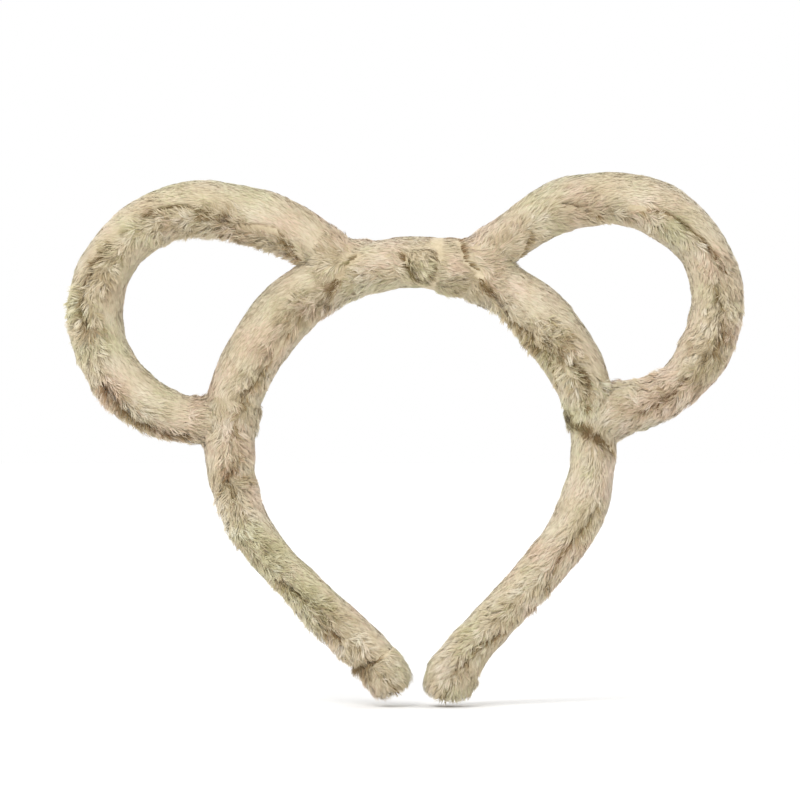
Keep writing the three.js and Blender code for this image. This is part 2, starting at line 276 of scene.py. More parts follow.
def noise(points, size, seed):
    """Smooth noise between -1 and 1 at points, with lumps of about the given size."""
    table = np.random.default_rng(seed + 1000).uniform(-1, 1, (32, 32, 32))
    q = points / size
    base = np.floor(q).astype(int)
    f = q - base
    f = f * f * (3 - 2 * f)
    total = 0
    for corner in range(8):
        step = np.array([corner & 1, corner >> 1 & 1, corner >> 2 & 1])
        weight = np.prod(np.where(step, f, 1 - f), -1)
        i = (base + step) % 32
        total = total + weight * table[i[..., 0], i[..., 1], i[..., 2]]
    return total


# ---- Tubes ----

LUMP_SIZE = 6.5


class Tube:
    """A tube along a path. theta is 0 on the front, 90 on the outer rim and -90 on the inner rim."""

    def __init__(self, path, half, seed, creases=(), lumps=0.35, deepest=1.6):
        self.path, self.half = path, half
        self.creases, self.lumps, self.seed, self.deepest = creases, lumps, seed, deepest

    def crease(self, s, theta):
        """How deep in a crease each point is. The skin itself sinks by deepest at most, and the hair over it is
        painted darker by the whole depth, as painted shade.
        """
        deep = np.zeros(np.broadcast(s, theta).shape)
        for points, width, depth in self.creases:
            nearest = np.full(deep.shape, 1e9)
            radius = float(np.mean(self.half(np.array([p[0] for p in points], float))))
            q = np.stack(np.broadcast_arrays(s, np.radians(theta) * radius), -1)
            line = np.array([[p[0], math.radians(p[1]) * radius] for p in points])
            for a, b in zip(line, line[1:]):
                along = np.clip(((q - a) @ (b - a)) / max(1e-9, (b - a) @ (b - a)), 0, 1)
                away = q - a - along[..., None] * (b - a)
                nearest = np.minimum(nearest, np.linalg.norm(away, axis=-1))
            deep = np.maximum(deep, depth * np.exp(-((nearest / width) ** 2)))
        return deep

    def point(self, s, theta, grow=0.0):
        middle, _, out = self.path.at(s)
        turn = np.radians(theta)
        half = self.half(s)
        flat = np.stack([s, np.cos(turn) * half, np.sin(turn) * half], -1)
        lumps = self.lumps * noise(flat, LUMP_SIZE, self.seed)
        rise = grow + lumps - np.minimum(self.crease(s, theta), self.deepest)
        a, b = half + rise, half * DEPTH_RATIO + rise
        return middle + out * (a * np.sin(turn))[..., None] + FRONT * (b * np.cos(turn))[..., None]

    def surface(self, s, theta, grow=0.0):
        """Points on the tube, and their outward normals and directions along and around, creases and all."""
        point = self.point(s, theta, grow)
        along = unit(self.point(s + 0.3, theta, grow) - point)
        around = unit(self.point(s, theta + 2, grow) - point)
        normal = unit(np.cross(along, around))
        normal = normal * np.sign(np.sum(normal * (point - self.path.at(s)[0]), -1, keepdims=True))
        return point, normal, along, around


def unit(v):
    return v / np.maximum(np.linalg.norm(v, axis=-1, keepdims=True), 1e-12)


def interpolated(points):
    """A function that gives the value at a distance, in a straight line between (distance, value) points."""
    at, value = np.array(points, float).T
    return lambda s: np.interp(s, at, value)


def constant(value):
    return lambda s: value + 0 * np.asarray(s, float)


def less(function, amount):
    return lambda s: function(s) - amount


def placed(points, start, end):
    """Points whose distances were shares of the way from start to end."""
    return [(start + share * (end - start), value) for share, value in points]


# ---- Meshes ----


def mesh_object(name, vertices, faces, uvs):
    """A mesh of triangles or quads: faces has three or four columns. uvs has a pair for each corner."""
    mesh = bpy.data.meshes.new(name)
    sides = faces.shape[1]
    mesh.vertices.add(len(vertices))
    mesh.vertices.foreach_set("co", (vertices * MM).astype(np.float32).ravel())
    mesh.loops.add(faces.size)
    mesh.loops.foreach_set("vertex_index", faces.astype(np.int32).ravel())
    mesh.polygons.add(len(faces))
    mesh.polygons.foreach_set("loop_start", np.arange(0, faces.size, sides, dtype=np.int32))
    layer = mesh.uv_layers.new(name="OFBake")
    layer.data.foreach_set("uv", uvs.astype(np.float32).ravel())
    mesh.update(calc_edges=True)
    mesh.validate()
    o = bpy.data.objects.new(name, mesh)
    bpy.context.scene.collection.objects.link(o)
    return o


def loft(name, rings):
    """A closed shell through rings that have as many points each. The last ring joins the first."""
    rings = np.array(rings)
    n, m = rings.shape[:2]
    i, j = np.meshgrid(np.arange(n), np.arange(m), indexing="ij")
    corners = [(i, j), (i, j + 1), (i + 1, j + 1), (i + 1, j)]
    faces = np.stack([(a % n) * m + b % m for a, b in corners], -1).reshape(-1, 4)
    layout = np.stack([np.stack([a / n, b / m], -1) for a, b in corners], 2).reshape(-1, 2)
    return mesh_object(name, rings.reshape(-1, 3), faces, layout)


def rounding(s, end, length):
    """From 1 to 0 as a quarter circle, over the last length before end."""
    return np.sqrt(1 - (1 - np.clip((end - s) / length, 0, 1)) ** 2)


def shell(name, tube, start, end, inner, step=1.6, sides=40, end_round=0.0, slant=0.0):
    """
    A hollow skin on a tube, from start to end. inner gives its bore's points. slant moves the end's outer rim
    on by so much, and its inner rim back. end_round is the length over which the end is rounded.
    """
    n = max(2, round((end - start) / step))
    s = np.linspace(start, end, n + 1)
    theta = np.arange(sides) * 360.0 / sides
    grid_s, grid_t = np.meshgrid(s, theta, indexing="ij")
    grid_s = grid_s + slant * np.sin(np.radians(grid_t)) * (grid_s - start) / (end - start)
    outer = tube.point(grid_s, grid_t)
    if end_round:
        middle = tube.path.at(grid_s)[0]
        outer = middle + (outer - middle) * (0.3 + 0.7 * rounding(grid_s, end, end_round))[..., None]
    return loft(name, np.concatenate([outer, inner(grid_s, grid_t)[::-1]]))


def hollow(name, tube, s, inner):
    """A plain skin on a tube, with a ring at each distance of s."""
    grid = np.meshgrid(s, np.arange(36) * 10.0, indexing="ij")
    return loft(name, np.concatenate([tube.point(*grid), inner(*grid)[::-1]]))


def bore_of(path, half, depth, offset=lambda s: 0 * s):
    """A smooth bore along a path: half across it, depth from front to back, and offset outwards."""

    def rings(s, theta):
        middle, _, out = path.at(s)
        turn = np.radians(theta)
        across = half(s) * np.sin(turn) + offset(s)
        return middle + out * across[..., None] + FRONT * (depth(s) * np.cos(turn))[..., None]

    return rings


def plush_bore(path, half):
    """A bore as much deeper than it is wide as the plush is."""
    return bore_of(path, half, lambda s: half(s) * DEPTH_RATIO)


def round_bore(path, radius):
    return bore_of(path, constant(radius), constant(radius))


# ---- Fur ----

HAIR_WIDTH = 0.24
ROOT_DEPTH = 0.1  # a hair begins so far under the skin
CLUMP = 1.5  # the size of a clump of hair
CLUMP_SHIFT = 400  # picks the part of the clumps' layout that the tubes use
TINTS = 3  # they lie side by side in the hair's layout
UV_EDGE = 0.004  # a hair's width in its layout


def clump_of(u, v, cell, seed):
    """The nearest clump's centre, and four random numbers of its own, for points of a flat layout."""
    table = np.random.default_rng(seed + 77).uniform(0, 1, (256, 256, 6))
    iu, iv = np.floor(u / cell).astype(int), np.floor(v / cell).astype(int)
    best = np.full(u.shape, 1e9)
    centre = np.zeros((len(u), 2))
    own = np.zeros((len(u), 4))
    for du in (-1, 0, 1):
        for dv in (-1, 0, 1):
            r = table[(iu + du) % 256, (iv + dv) % 256]
            cu, cv = (iu + du + r[:, 0]) * cell, (iv + dv + r[:, 1]) * cell
            d = (cu - u) ** 2 + (cv - v) ** 2
            closer = d < best
            best = np.where(closer, d, best)
            centre[closer] = np.stack([cu, cv], -1)[closer]
            own[closer] = r[closer, 2:]
    return centre, own


def strands(name, root, normal, flow, length, lift, pull, pull_point, shade, hue, rough):
    """
    Hairs as narrow pointed ribbons. Each starts at root, rises by its lift (degrees) and lies along flow. pull
    draws its tip to the clump's tip at pull_point. shade is 0 for dark to 1 for light, and hue picks a tint.
    Smooth pile is lit as one soft surface, and matted hair (rough to 1) more by its own facing, in tufts.
    """
    n = len(root)
    lift = np.radians(lift)[:, None]
    length = length[:, None]
    rise = np.minimum(lift * 1.9, math.radians(62))
    middle = root + 0.5 * length * (flow * np.cos(rise) + normal * np.sin(rise))
    tip = root + length * (flow * np.cos(lift) + normal * np.sin(lift))
    tip = tip + (pull_point - tip) * pull[:, None]
    middle = middle + (pull_point - middle) * (pull[:, None] * 0.35)
    side = unit(np.cross(flow, normal))
    twist = rng.normal(0, 0.4, (n, 1))
    side = side * np.cos(twist) + normal * np.sin(twist)
    wide = HAIR_WIDTH * rng.uniform(0.7, 1.3, (n, 1)) / 2
    wide_low, wide_high = side * wide, side * wide * 0.9
    corners = [root - wide_low, root + wide_low, middle - wide_high, middle + wide_high, tip]
    vertices = np.stack(corners, 1)
    ribbon = np.array([[0, 1, 3], [0, 3, 2], [2, 3, 4]])
    faces = (ribbon[None] + 5 * np.arange(n)[:, None, None]).reshape(-1, 3)
    u = (hue + np.clip(shade, 0.02, 0.96)) / TINTS
    corner_u = np.stack([u, u + UV_EDGE, u, u + UV_EDGE, u + UV_EDGE / 2], 1)
    corner_v = np.tile([0.01, 0.01, 0.5, 0.5, 0.99], (n, 1))
    uv = np.stack([corner_u, corner_v], -1).reshape(-1, 2)[faces.ravel()]
    o = mesh_object(name, vertices.reshape(-1, 3), faces, uv)

    facing = unit(np.cross(tip - root, side))
    facing = facing * np.sign(np.sum(facing * normal, -1, keepdims=True))
    tufts = np.stack([noise(root, 2.4, 90 + c) for c in range(3)], -1)
    facing = normal + (facing * 0.45 + tufts * 0.55) * (0.12 + 0.88 * rough)[:, None]
    o.data.normals_split_custom_set_from_vertices(np.repeat(unit(facing), 5, axis=0))
    o.data.materials.append(MATERIALS["fur"])
    return o


def tints(point, own, rough):
    """A shade and a tint for each hair: large soft patches, smaller mottling and its clump's own numbers."""
    n = len(point)
    shade = 0.53 + 0.1 * noise(point, 13, 5) + 0.08 * noise(point, 5, 6) * (1 + rough) - 0.05 * rough
    shade = shade + (0.05 + 0.24 * rough) * (own[:, 2] - 0.5) + 0.22 * rough * noise(point, 2.4, 12)
    shade = shade + rng.normal(0, 0.02, n) * (1 + 2.5 * rough)
    patch = 0.7 * noise(point, 18, 8) + 0.6 * noise(point, 7, 9) + rng.normal(0, 0.25, n)
    hue = np.where(patch > 0.4, 1, np.where(patch < -0.4, 2, 0))
    return shade, hue


def tube_fur(name, tube, start, end, style, seed, density=4.8, end_round=0.0, skip=()):
    """
    Fur over a tube. A matted stretch runs along it and the rest is smooth. style holds functions of the
    distance: part, the angle of the matted stretch's middle; wide, half its width in degrees; rough, how matted
    it is, 0 to 1; and lean and lean_out, how far the hair on its inner and outer sides turns away from the
    tube's direction. skip lists the stretches that another piece covers. The hair before each is tucked under.
    """
    widest = float(np.max(tube.half(np.linspace(start, end, 50))))
    n = int((end - start) * 2 * math.pi * widest * 1.03 * density)
    s = rng.uniform(start, end, n)
    theta = rng.uniform(-180, 180, n)
    keep = rng.uniform(0, 1, n) < tube.half(s) / widest
    for a, b in skip:
        keep &= (s < a) | (s > b)
    s, theta = s[keep], theta[keep]
    n = len(s)
    around_mm = np.radians(theta) * widest
    flat = np.stack([s, around_mm, 0 * s], -1)

    from_part = (theta - style["part"](s) + 180) % 360 - 180
    ragged = 0.5 * noise(flat, 8, seed + 3) + 0.4 * noise(flat, 3, seed + 5)
    patch = np.clip(1.2 - np.abs(from_part) / style["wide"](s) + ragged, 0, 1)
    rough = style["rough"](s) * patch * patch * (3 - 2 * patch)
    lean = np.where(from_part > 0, style["lean_out"](s), -style["lean"](s))
    lean = lean * np.tanh(np.abs(from_part) / 14)
    lean = lean * (0.3 + 0.7 * np.exp(-((from_part / style["wide"](s)) ** 2)))

    warp = 0.6 * noise(flat, CLUMP, seed + 6), 0.6 * noise(flat, CLUMP, seed + 7)
    centre, own = clump_of(s + warp[0], around_mm + warp[1] + CLUMP_SHIFT, CLUMP, seed)
    clump_theta = np.degrees((centre[:, 1] - CLUMP_SHIFT) / widest)
    loose = rng.uniform(0, 1, n) < 0.3
    stray = rng.normal(0, 5, n) * (1 + 4 * rough * loose)
    turn = np.radians(lean + (own[:, 0] - 0.5) * (8 + 100 * rough) + stray)
    turn = turn + np.radians(8 + 34 * rough) * noise(flat + [0, 0, 9], 6, seed + 4)

    point, normal, along, around = tube.surface(s, theta, grow=-ROOT_DEPTH)
    flow = along * np.cos(turn)[:, None] + around * np.sin(turn)[:, None]
    length = 2.5 + 1.5 * rough + 0.7 * own[:, 1] + rng.uniform(-0.3, 0.4, n)
    lift = 6 + 23 * rough * own[:, 3] + 10 * rough + rng.normal(0, 1.2, n) * (1 + rough)
    clump_point, clump_normal, _, _ = tube.surface(centre[:, 0], clump_theta, grow=-ROOT_DEPTH)
    clump_length = 2.7 + 1.7 * rough + 0.7 * own[:, 1]
    pull_point = clump_point + clump_length[:, None] * unit(flow * 0.92 + clump_normal * 0.4)
    pull = np.clip(0.75 * rough, 0, 0.7) * ~loose
    for a, _ in skip:
        tucked = (s < a) & (s > a - 3.5)
        length = np.where(tucked, np.minimum(length, 1.3 + a - s), length)
        lift = np.where(tucked, 4, lift)
        pull = np.where(tucked, 0, pull)
    if end_round:
        middle = tube.path.at(s)[0]
        near = rounding(s, end, end_round)
        point = middle + (point - middle) * (0.3 + 0.7 * near)[:, None]
        normal = unit(normal * near[:, None] + along * (1 - near)[:, None])
        flow = unit(flow - normal * np.sum(flow * normal, -1, keepdims=True))
        pull = pull * 0
    shade, hue = tints(point, own, rough)
    # Painted shade: hair over creases is darkened by their depth.
    # Painted shade: in matted stretches, clumps that lie flat between raised tufts are darkened.
    shade = shade - 0.12 * rough * (own[:, 3] < 0.4) - 0.5 * tube.crease(s, theta) + 0.04
    lift = np.clip(lift, 3, 60)
    return strands(name, point, normal, flow, length, lift, pull, pull_point, shade, hue, rough)


# ---- Materials ----


def srgb(*colour):
    """A linear colour from sRGB values of 0 to 255."""
    values = [c / 255 for c in colour]
    return *(c / 12.92 if c <= 0.04045 else ((c + 0.055) / 1.055) ** 2.4 for c in values), 1


def material(name, roughness, specular, metallic=0.0):
    m = bpy.data.materials.new(name)
    m.use_nodes = True
    shader = m.node_tree.nodes["Principled BSDF"]
    shader.inputs["Roughness"].default_value = roughness
    shader.inputs["Specular IOR Level"].default_value = specular
    shader.inputs["Metallic"].default_value = metallic
    return m, m.node_tree, shader


def node(tree, kind, **values):
    """A node with values for its inputs, or for its own settings."""
    made = tree.nodes.new(kind)
    for key, value in values.items():
        if key in made.inputs:
            made.inputs[key].default_value = value
        else:
            setattr(made, key, value)
    return made


def ramp(tree, stops, source):
    """The colour at source between stops, each (position, colour)."""
    made = tree.nodes.new("ShaderNodeValToRGB")
    elements = made.color_ramp.elements
    while len(elements) < len(stops):
        elements.new(0.5)
    for element, (at, colour) in zip(elements, stops):
        element.position = at
        element.color = colour
    tree.links.new(source, made.inputs["Fac"])
    return made.outputs["Color"]


def multiplied(tree, a, b):
    mix = tree.nodes.new("ShaderNodeMix")
    mix.data_type = "RGBA"
    mix.blend_type = "MULTIPLY"
    mix.inputs["Factor"].default_value = 1.0
    tree.links.new(a, mix.inputs["A"])
    tree.links.new(b, mix.inputs["B"])
    return mix.outputs["Result"]


def fur_material():
    """Hair: its tint and shade run across its layout, and it is painted darker at the root, as painted shade
    deep in the pile.
    """
    m, tree, shader = material("fur_hair", 0.8, 0.15)
    shader.inputs["Sheen Weight"].default_value = 0.25
    shader.inputs["Sheen Roughness"].default_value = 0.5
    layout = node(tree, "ShaderNodeUVMap", uv_map="OFBake")
    split = tree.nodes.new("ShaderNodeSeparateXYZ")
    tree.links.new(layout.outputs["UV"], split.inputs["Vector"])
    # Shades under about 0.16 come mostly from hair in creases, darkened as painted shade.
    tint_colours = [
        [(120, 98, 64), (164, 144, 107), (211, 196, 165), (240, 233, 216)],
        [(124, 95, 65), (168, 141, 108), (217, 194, 168), (242, 229, 213)],
        [(114, 100, 63), (157, 145, 104), (205, 197, 159), (234, 231, 210)],
    ]
    stops = [
        ((i + at) / TINTS, srgb(*colour))
        for i, colours in enumerate(tint_colours)
        for at, colour in zip((0.004, 0.16, 0.5, 0.996), colours)
    ]
    across = ramp(tree, stops, split.outputs["X"])
    # Painted shade: each hair is darker toward its root, deep in the pile.
    painted_root_shade = [(at, (grey, grey, grey, 1)) for at, grey in ((0.0, 0.86), (0.45, 0.96), (1.0, 1.0))]
    down = ramp(tree, painted_root_shade, split.outputs["Y"])
    tree.links.new(multiplied(tree, across, down), shader.inputs["Base Color"])
    return m


def skin_material():
    """The knitted backing and dense undercoat seen between the hairs."""
    m, tree, shader = material("fur_undercoat", 0.95, 0.1)
    shader.inputs["Sheen Weight"].default_value = 0.3
    place = tree.nodes.new("ShaderNodeTexCoord")
    patches = node(tree, "ShaderNodeTexNoise", Scale=60.0, Detail=3.0)
    fine = node(tree, "ShaderNodeTexNoise", Scale=900.0, Detail=2.0)
    for n in (patches, fine):
        tree.links.new(place.outputs["Object"], n.inputs["Vector"])
    colour = ramp(tree, [(0.3, srgb(196, 179, 148)), (0.7, srgb(214, 200, 171))], patches.outputs["Fac"])
    grain = ramp(tree, [(0.3, (0.84, 0.82, 0.78, 1)), (0.7, (1, 1, 1, 1))], fine.outputs["Fac"])
    tree.links.new(multiplied(tree, colour, grain), shader.inputs["Base Color"])
    return m


def plain_material(name, low, high, roughness, specular, scale, metallic=0.0):
    """A material mottled between two colours, with a fine grain."""
    m, tree, shader = material(name, roughness, specular, metallic)
    place = tree.nodes.new("ShaderNodeTexCoord")
    texture = node(tree, "ShaderNodeTexNoise", Scale=scale, Detail=4.0)
    tree.links.new(place.outputs["Object"], texture.inputs["Vector"])
    colour = ramp(tree, [(0.35, low), (0.65, high)], texture.outputs["Fac"])
    tree.links.new(colour, shader.inputs["Base Color"])
    bump = node(tree, "ShaderNodeBump", Strength=0.25, Distance=0.0003)
    tree.links.new(texture.outputs["Fac"], bump.inputs["Height"])
    tree.links.new(bump.outputs["Normal"], shader.inputs["Normal"])
    return m


MATERIALS = {
    "fur": fur_material(),
    "skin": skin_material(),
    "foam": plain_material("foam_wadding", srgb(222, 217, 204), srgb(243, 240, 231), 0.95, 0.1, 500.0),
    "strip": plain_material("strip_plastic", srgb(236, 236, 231), srgb(244, 244, 240), 0.38, 0.5, 220.0),
    "wire": plain_material("wire_steel", srgb(150, 152, 155), srgb(176, 178, 180), 0.32, 0.5, 900.0, 1.0),
    "tape": plain_material("cloth_tape", srgb(214, 207, 186), srgb(232, 227, 210), 0.85, 0.2, 1400.0),
}

# ---- The plush, side by side ----

PILE = 0.55  # from the skin to the tips of the hair
FOAM_BELOW = 2.8  # from the band's outside to its foam
FOAM_GAP = 0.15
BORE_OVERLAP = 0.2
SEAM = 3.0  # the band's halves meet so far right of the middle, under the crown's wrap
COLLAR = 7.5  # half the width of a root's wrap
WIRE_BORE = 1.3
SADDLE_HALF = 7.2
WRAP_DENSITY = 4.4  # hairs to the square millimetre
WRAP_CLUMP = 2.0
VOXEL = 0.8
CAP_LENGTH, CAP_SHORT, CAP_ROUND = 14, 2.2, 5.0
CAP_FUR = {"part": 20, "wide": 90, "rough": 0.6, "lean": 35, "lean_out": 30}


def ring_half(band_half, root):
    """A root's wrap: a little proud of the band's skin, and sinking under it at both ends."""
    return lambda s: band_half(s) - PILE + 0.3 - 1.2 * np.clip((np.abs(s - root) - 4.5) / 3, 0, 1)


def stub_half(ear_half, turn_point, inward):
    """The start of an ear: it sinks into the ear's own skin just beyond its turning point."""
    return lambda s: ear_half(s) - PILE - 0.9 * np.clip((0.5 - (s - turn_point) * inward) / 3, 0, 1)


def strip_bore(band, roots):
    """The bore round the strip. At each root it widens outwards, for the wire's foot and the tape."""

    def near_root(s):
        return np.max([np.clip((16 - np.abs(s - r)) / 4, 0, 1) for r in roots], axis=0)

    return bore_of(
        band,
        lambda s: 1.5 + 2.3 * near_root(s),
        lambda s: 3.9 + 1.7 * near_root(s) - 0.35 * np.clip((s - 100) / 40, 0, 1),
        near_root,
    )


def grown_together(name, pieces):
    """One soft skin from skins that overlap."""
    bpy.ops.object.select_all(action="DESELECT")
    for piece in pieces:
        piece.select_set(True)
    whole = pieces[0]
    bpy.context.view_layer.objects.active = whole
    bpy.ops.object.join()
    remesh = whole.modifiers.new("grow", "REMESH")
    remesh.mode = "VOXEL"
    remesh.voxel_size = VOXEL * MM
    smooth = whole.modifiers.new("soften", "SMOOTH")
    smooth.factor = 0.5
    smooth.iterations = 8
    bpy.ops.object.modifier_apply(modifier="grow")
    bpy.ops.object.modifier_apply(modifier="soften")
    whole.name = name
    whole.data.name = name
    whole.data.materials.clear()
    return whole


def scattered(mesh, density):
    """Random points on a mesh, so many to the square millimetre, and the smooth normals there."""
    mesh.calc_loop_triangles()
    co = np.zeros(len(mesh.vertices) * 3)
    mesh.vertices.foreach_get("co", co)
    co = co.reshape(-1, 3) / MM
    tri = np.zeros(len(mesh.loop_triangles) * 3, int)
    mesh.loop_triangles.foreach_get("vertices", tri)
    tri = tri.reshape(-1, 3)
    cross = np.cross(co[tri[:, 1]] - co[tri[:, 0]], co[tri[:, 2]] - co[tri[:, 0]])
    area = np.linalg.norm(cross, axis=1) / 2
    vertex_normal = np.zeros_like(co)
    for c in range(3):
        np.add.at(vertex_normal, tri[:, c], cross)
    vertex_normal = unit(vertex_normal)
    count = int(area.sum() * density)
    pick = rng.choice(len(tri), count, p=area / area.sum())
    b1, b2 = rng.uniform(0, 1, (2, count))
    flip = b1 + b2 > 1
    b1, b2 = np.where(flip, 1 - b1, b1), np.where(flip, 1 - b2, b2)
    weights = np.stack([1 - b1 - b2, b1, b2], -1)[..., None]
    return (co[tri[pick]] * weights).sum(1), unit((vertex_normal[tri[pick]] * weights).sum(1))


for label, side in SIDES.items():
    sign = side["sign"]
    arm, ear_body = f"{label}_arm", f"{label}_ear"
    band, wire = band_path(side), wire_path(side)
    band_half, ear_half = interpolated(side["band_half"]), interpolated(side["ear_half"])
    plush = Shifted(band, interpolated(side["band_shift"]))
    ear_plush = Shifted(wire, interpolated(side["ear_shift"]))
    roots = [arch_length(a) for a in side["roots"]]
    hinge = on_arch(sign, HINGE_ANGLE)
    toward_arm = band.at(np.array([arch_length(HINGE_ANGLE)]))[1][0]

    # Band: from under the crown's wrap to inside the tip cap
    start, end = SEAM * sign, band.length - 8
    creases = side["band_creases"]
    style = {key: interpolated(points) for key, points in side["band_fur"].items()}
    skin_tube = Tube(plush, less(band_half, PILE), creases=creases, seed=2 + sign)
    bore = plush_bore(plush, less(band_half, FOAM_BELOW - BORE_OVERLAP))
    skin = shell(f"{label}_band_undercoat", skin_tube, start, end, bore)
    skin.data.materials.append(MATERIALS["skin"])
    under_wraps = [(root - 4, root + 4) for root in roots]
    under_wraps.append((-9, side["under_crown_wrap"]))
    hair = tube_fur(f"{label}_band_fur", skin_tube, start, end, style, seed=3 + sign, skip=under_wraps)
    for piece in (skin, hair):
        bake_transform(piece)
    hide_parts(f"{label}_sleeve", *(["crown_sleeve"] if sign < 0 else []))

    # Foam of the band, hollow round the strip, the wire's feet and the tape
    foam_tube = Tube(plush, less(band_half, FOAM_BELOW + FOAM_GAP), lumps=0.12, seed=9)
    foam_bore = strip_bore(band, roots)
    foam = shell(f"{label}_band_foam", foam_tube, start, band.length - 9, foam_bore, step=2.5, sides=28)
    foam.data.materials.append(MATERIALS["foam"])
    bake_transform(foam)
    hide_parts(f"{label}_foam", *(["crown_foam"] if sign < 0 else []))

    # Ear: it turns at two points on its wire, one near each root
    bend_end = FOOT + side["ear"][0][0]
    turn_points = [bend_end + side["knuckles"][0], wire.length - bend_end - side["knuckles"][1]]
    first, last = turn_points[0] + 1.2, turn_points[1] - 1.2
    ear_creases = [(placed(line, *turn_points), width, depth) for line, width, depth in side["ear_creases"]]
    style = {key: interpolated(placed(points, *turn_points)) for key, points in side["ear_fur"].items()}
    ear_tube = Tube(ear_plush, less(ear_half, PILE), creases=ear_creases, seed=14 + sign)
    ear_bore = plush_bore(ear_plush, less(ear_half, FOAM_BELOW - BORE_OVERLAP))
    ear_skin = shell(f"{label}_ear_undercoat", ear_tube, first, last, ear_bore)
    ear_skin.data.materials.append(MATERIALS["skin"])
    ear_hair = tube_fur(f"{label}_ear_fur", ear_tube, first - 0.5, last + 0.5, style, seed=5 + sign)
    ear_foam_tube = Tube(ear_plush, less(ear_half, FOAM_BELOW + FOAM_GAP), lumps=0.12, seed=10)
    ear_foam_bore = round_bore(wire, 1.25)
    ear_foam = shell(
        f"{label}_ear_wadding", ear_foam_tube, first + 0.5, last - 0.5, ear_foam_bore, step=2.5, sides=28
    )
    ear_foam.data.materials.append(MATERIALS["foam"])
    turn_at = wire.at(np.array(turn_points))[0]
    chord = unit(turn_at[1] - turn_at[0])
    outward = np.array([chord[2], 0, -chord[0]])
    outward = outward * sign * np.sign(outward[0])
    for piece in (ear_skin, ear_hair, ear_foam):
        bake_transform(piece)
    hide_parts(f"{label}_ear_sleeve")
    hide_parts(f"{label}_ear_foam")

    # Root wraps: a ring round the band grown together with a short stub of the ear
    for k, (name, root) in enumerate(zip(("upper", "lower"), roots)):
        slant, turn_point = side["slants"][k], turn_points[k]
        inward = -1 if k == 0 else 1
        ring = Tube(plush, ring_half(band_half, root), creases=creases, lumps=0.3, seed=20 + k)
        under = plush_bore(plush, less(band_half, PILE + 2.2))
        collar = shell("collar", ring, root - COLLAR, root + COLLAR, under, step=1.0, sides=48, slant=slant)
        stub_ends = sorted([turn_point + inward * 9.5, turn_point - inward * 3.0])
        stub_size = stub_half(ear_half, turn_point, inward)
        stub_tube = Tube(ear_plush, stub_size, creases=ear_creases, lumps=0.2, seed=30 + k)
        stub = hollow("stub", stub_tube, np.linspace(*stub_ends, 14), round_bore(wire, WIRE_BORE))
        pieces = [collar, stub]
        if k == 0:
            # The crown's top runs straight on into the ear's rim here
            saddle_path = Path(*side["saddle"], sign)
            saddle_tube = Tube(saddle_path, constant(SADDLE_HALF - PILE), lumps=0.15, seed=35)
            rings = np.linspace(0, saddle_path.length, 16)
            pieces.append(hollow("saddle", saddle_tube, rings, round_bore(saddle_path, WIRE_BORE)))
        collar = grown_together(f"{label}_{name}_wrap_undercoat", pieces)
        collar.data.materials.append(MATERIALS["skin"])

        # Hair on the outside of the grown skin, and none in its bores
        point, normal = scattered(collar.data, WRAP_DENSITY)
        band_s, ear_s = band.nearest(point), wire.nearest(point)
        middle, along, out = plush.at(band_s)
        ear_middle, ear_along, _ = wire.at(ear_s)
        radial, ear_radial = point - middle, point - ear_middle
        band_far = np.hypot(np.sum(radial * out, -1), radial[:, 1] / DEPTH_RATIO)
        ear_far = np.linalg.norm(ear_radial, axis=-1)
        band_rim = band_half(band_s)
        outside = (band_far > band_rim - PILE - 0.1) & ((ear_far > 3.5) | (band_far < band_rim + 1))
        faces_out = np.sum(normal * unit(radial), -1) > 0.5
        faces_out |= np.sum(normal * unit(ear_radial), -1) > 0.5
        outside &= faces_out & ((ear_s - turn_point) * inward > -1.0)
        point, normal, radial, out = (v[outside] for v in (point, normal, radial, out))
        along, ear_along = along[outside], ear_along[outside]
        band_s, band_far, band_rim = band_s[outside], band_far[outside], band_rim[outside]
        count = len(point)

        on_ear = np.clip((band_far - band_rim + 0.5) / 3, 0, 1)[:, None]
        normal = unit(normal * (0.2 + on_ear) + unit(radial) * (1 - on_ear))  # no brim where the wrap begins
        around = unit(np.cross(normal, along))
        turn_own = noise(point, 5, 40 + k)[:, None]
        flow = (1 - on_ear) * (along * 0.75 + around * turn_own * 0.9) + on_ear * ear_along
        flow = unit(flow - normal * np.sum(flow * normal, -1, keepdims=True))
        across, down = point[:, 0] + point[:, 1] + 500, point[:, 2] + point[:, 1] * 0.6 + 500
        _, own = clump_of(across, down, WRAP_CLUMP, 50 + k)
        length = 2.8 + 1.0 * own[:, 1] + rng.uniform(-0.4, 0.5, count)
        lift = 8 + 11 * own[:, 3] + rng.normal(0, 3, count)
        shade, hue = tints(point, own, 0.6)
        theta = np.degrees(np.arctan2(np.sum(radial * out, -1), -radial[:, 1] / DEPTH_RATIO))
        # Painted shade: hair over the band's creases is darkened by their depth.
        shade = shade - 0.45 * (1 - on_ear[:, 0]) * ring.crease(band_s, theta)
        extra = rng.normal(0, 0.25, (count, 3)) + (own[:, :1] - 0.5) * around
        flow = unit(flow + extra - normal * np.sum(extra * normal, -1, keepdims=True))
        hair_name = f"{label}_{name}_wrap_fur"
        pull, rough = np.zeros(count), np.full(count, 0.5)
        wrap_hair = strands(hair_name, point, normal, flow, length, lift, pull, point, shade, hue, rough)
        for piece in (collar, wrap_hair):
            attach(piece, arm)
        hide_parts(f"{label}_{name}_wrap")

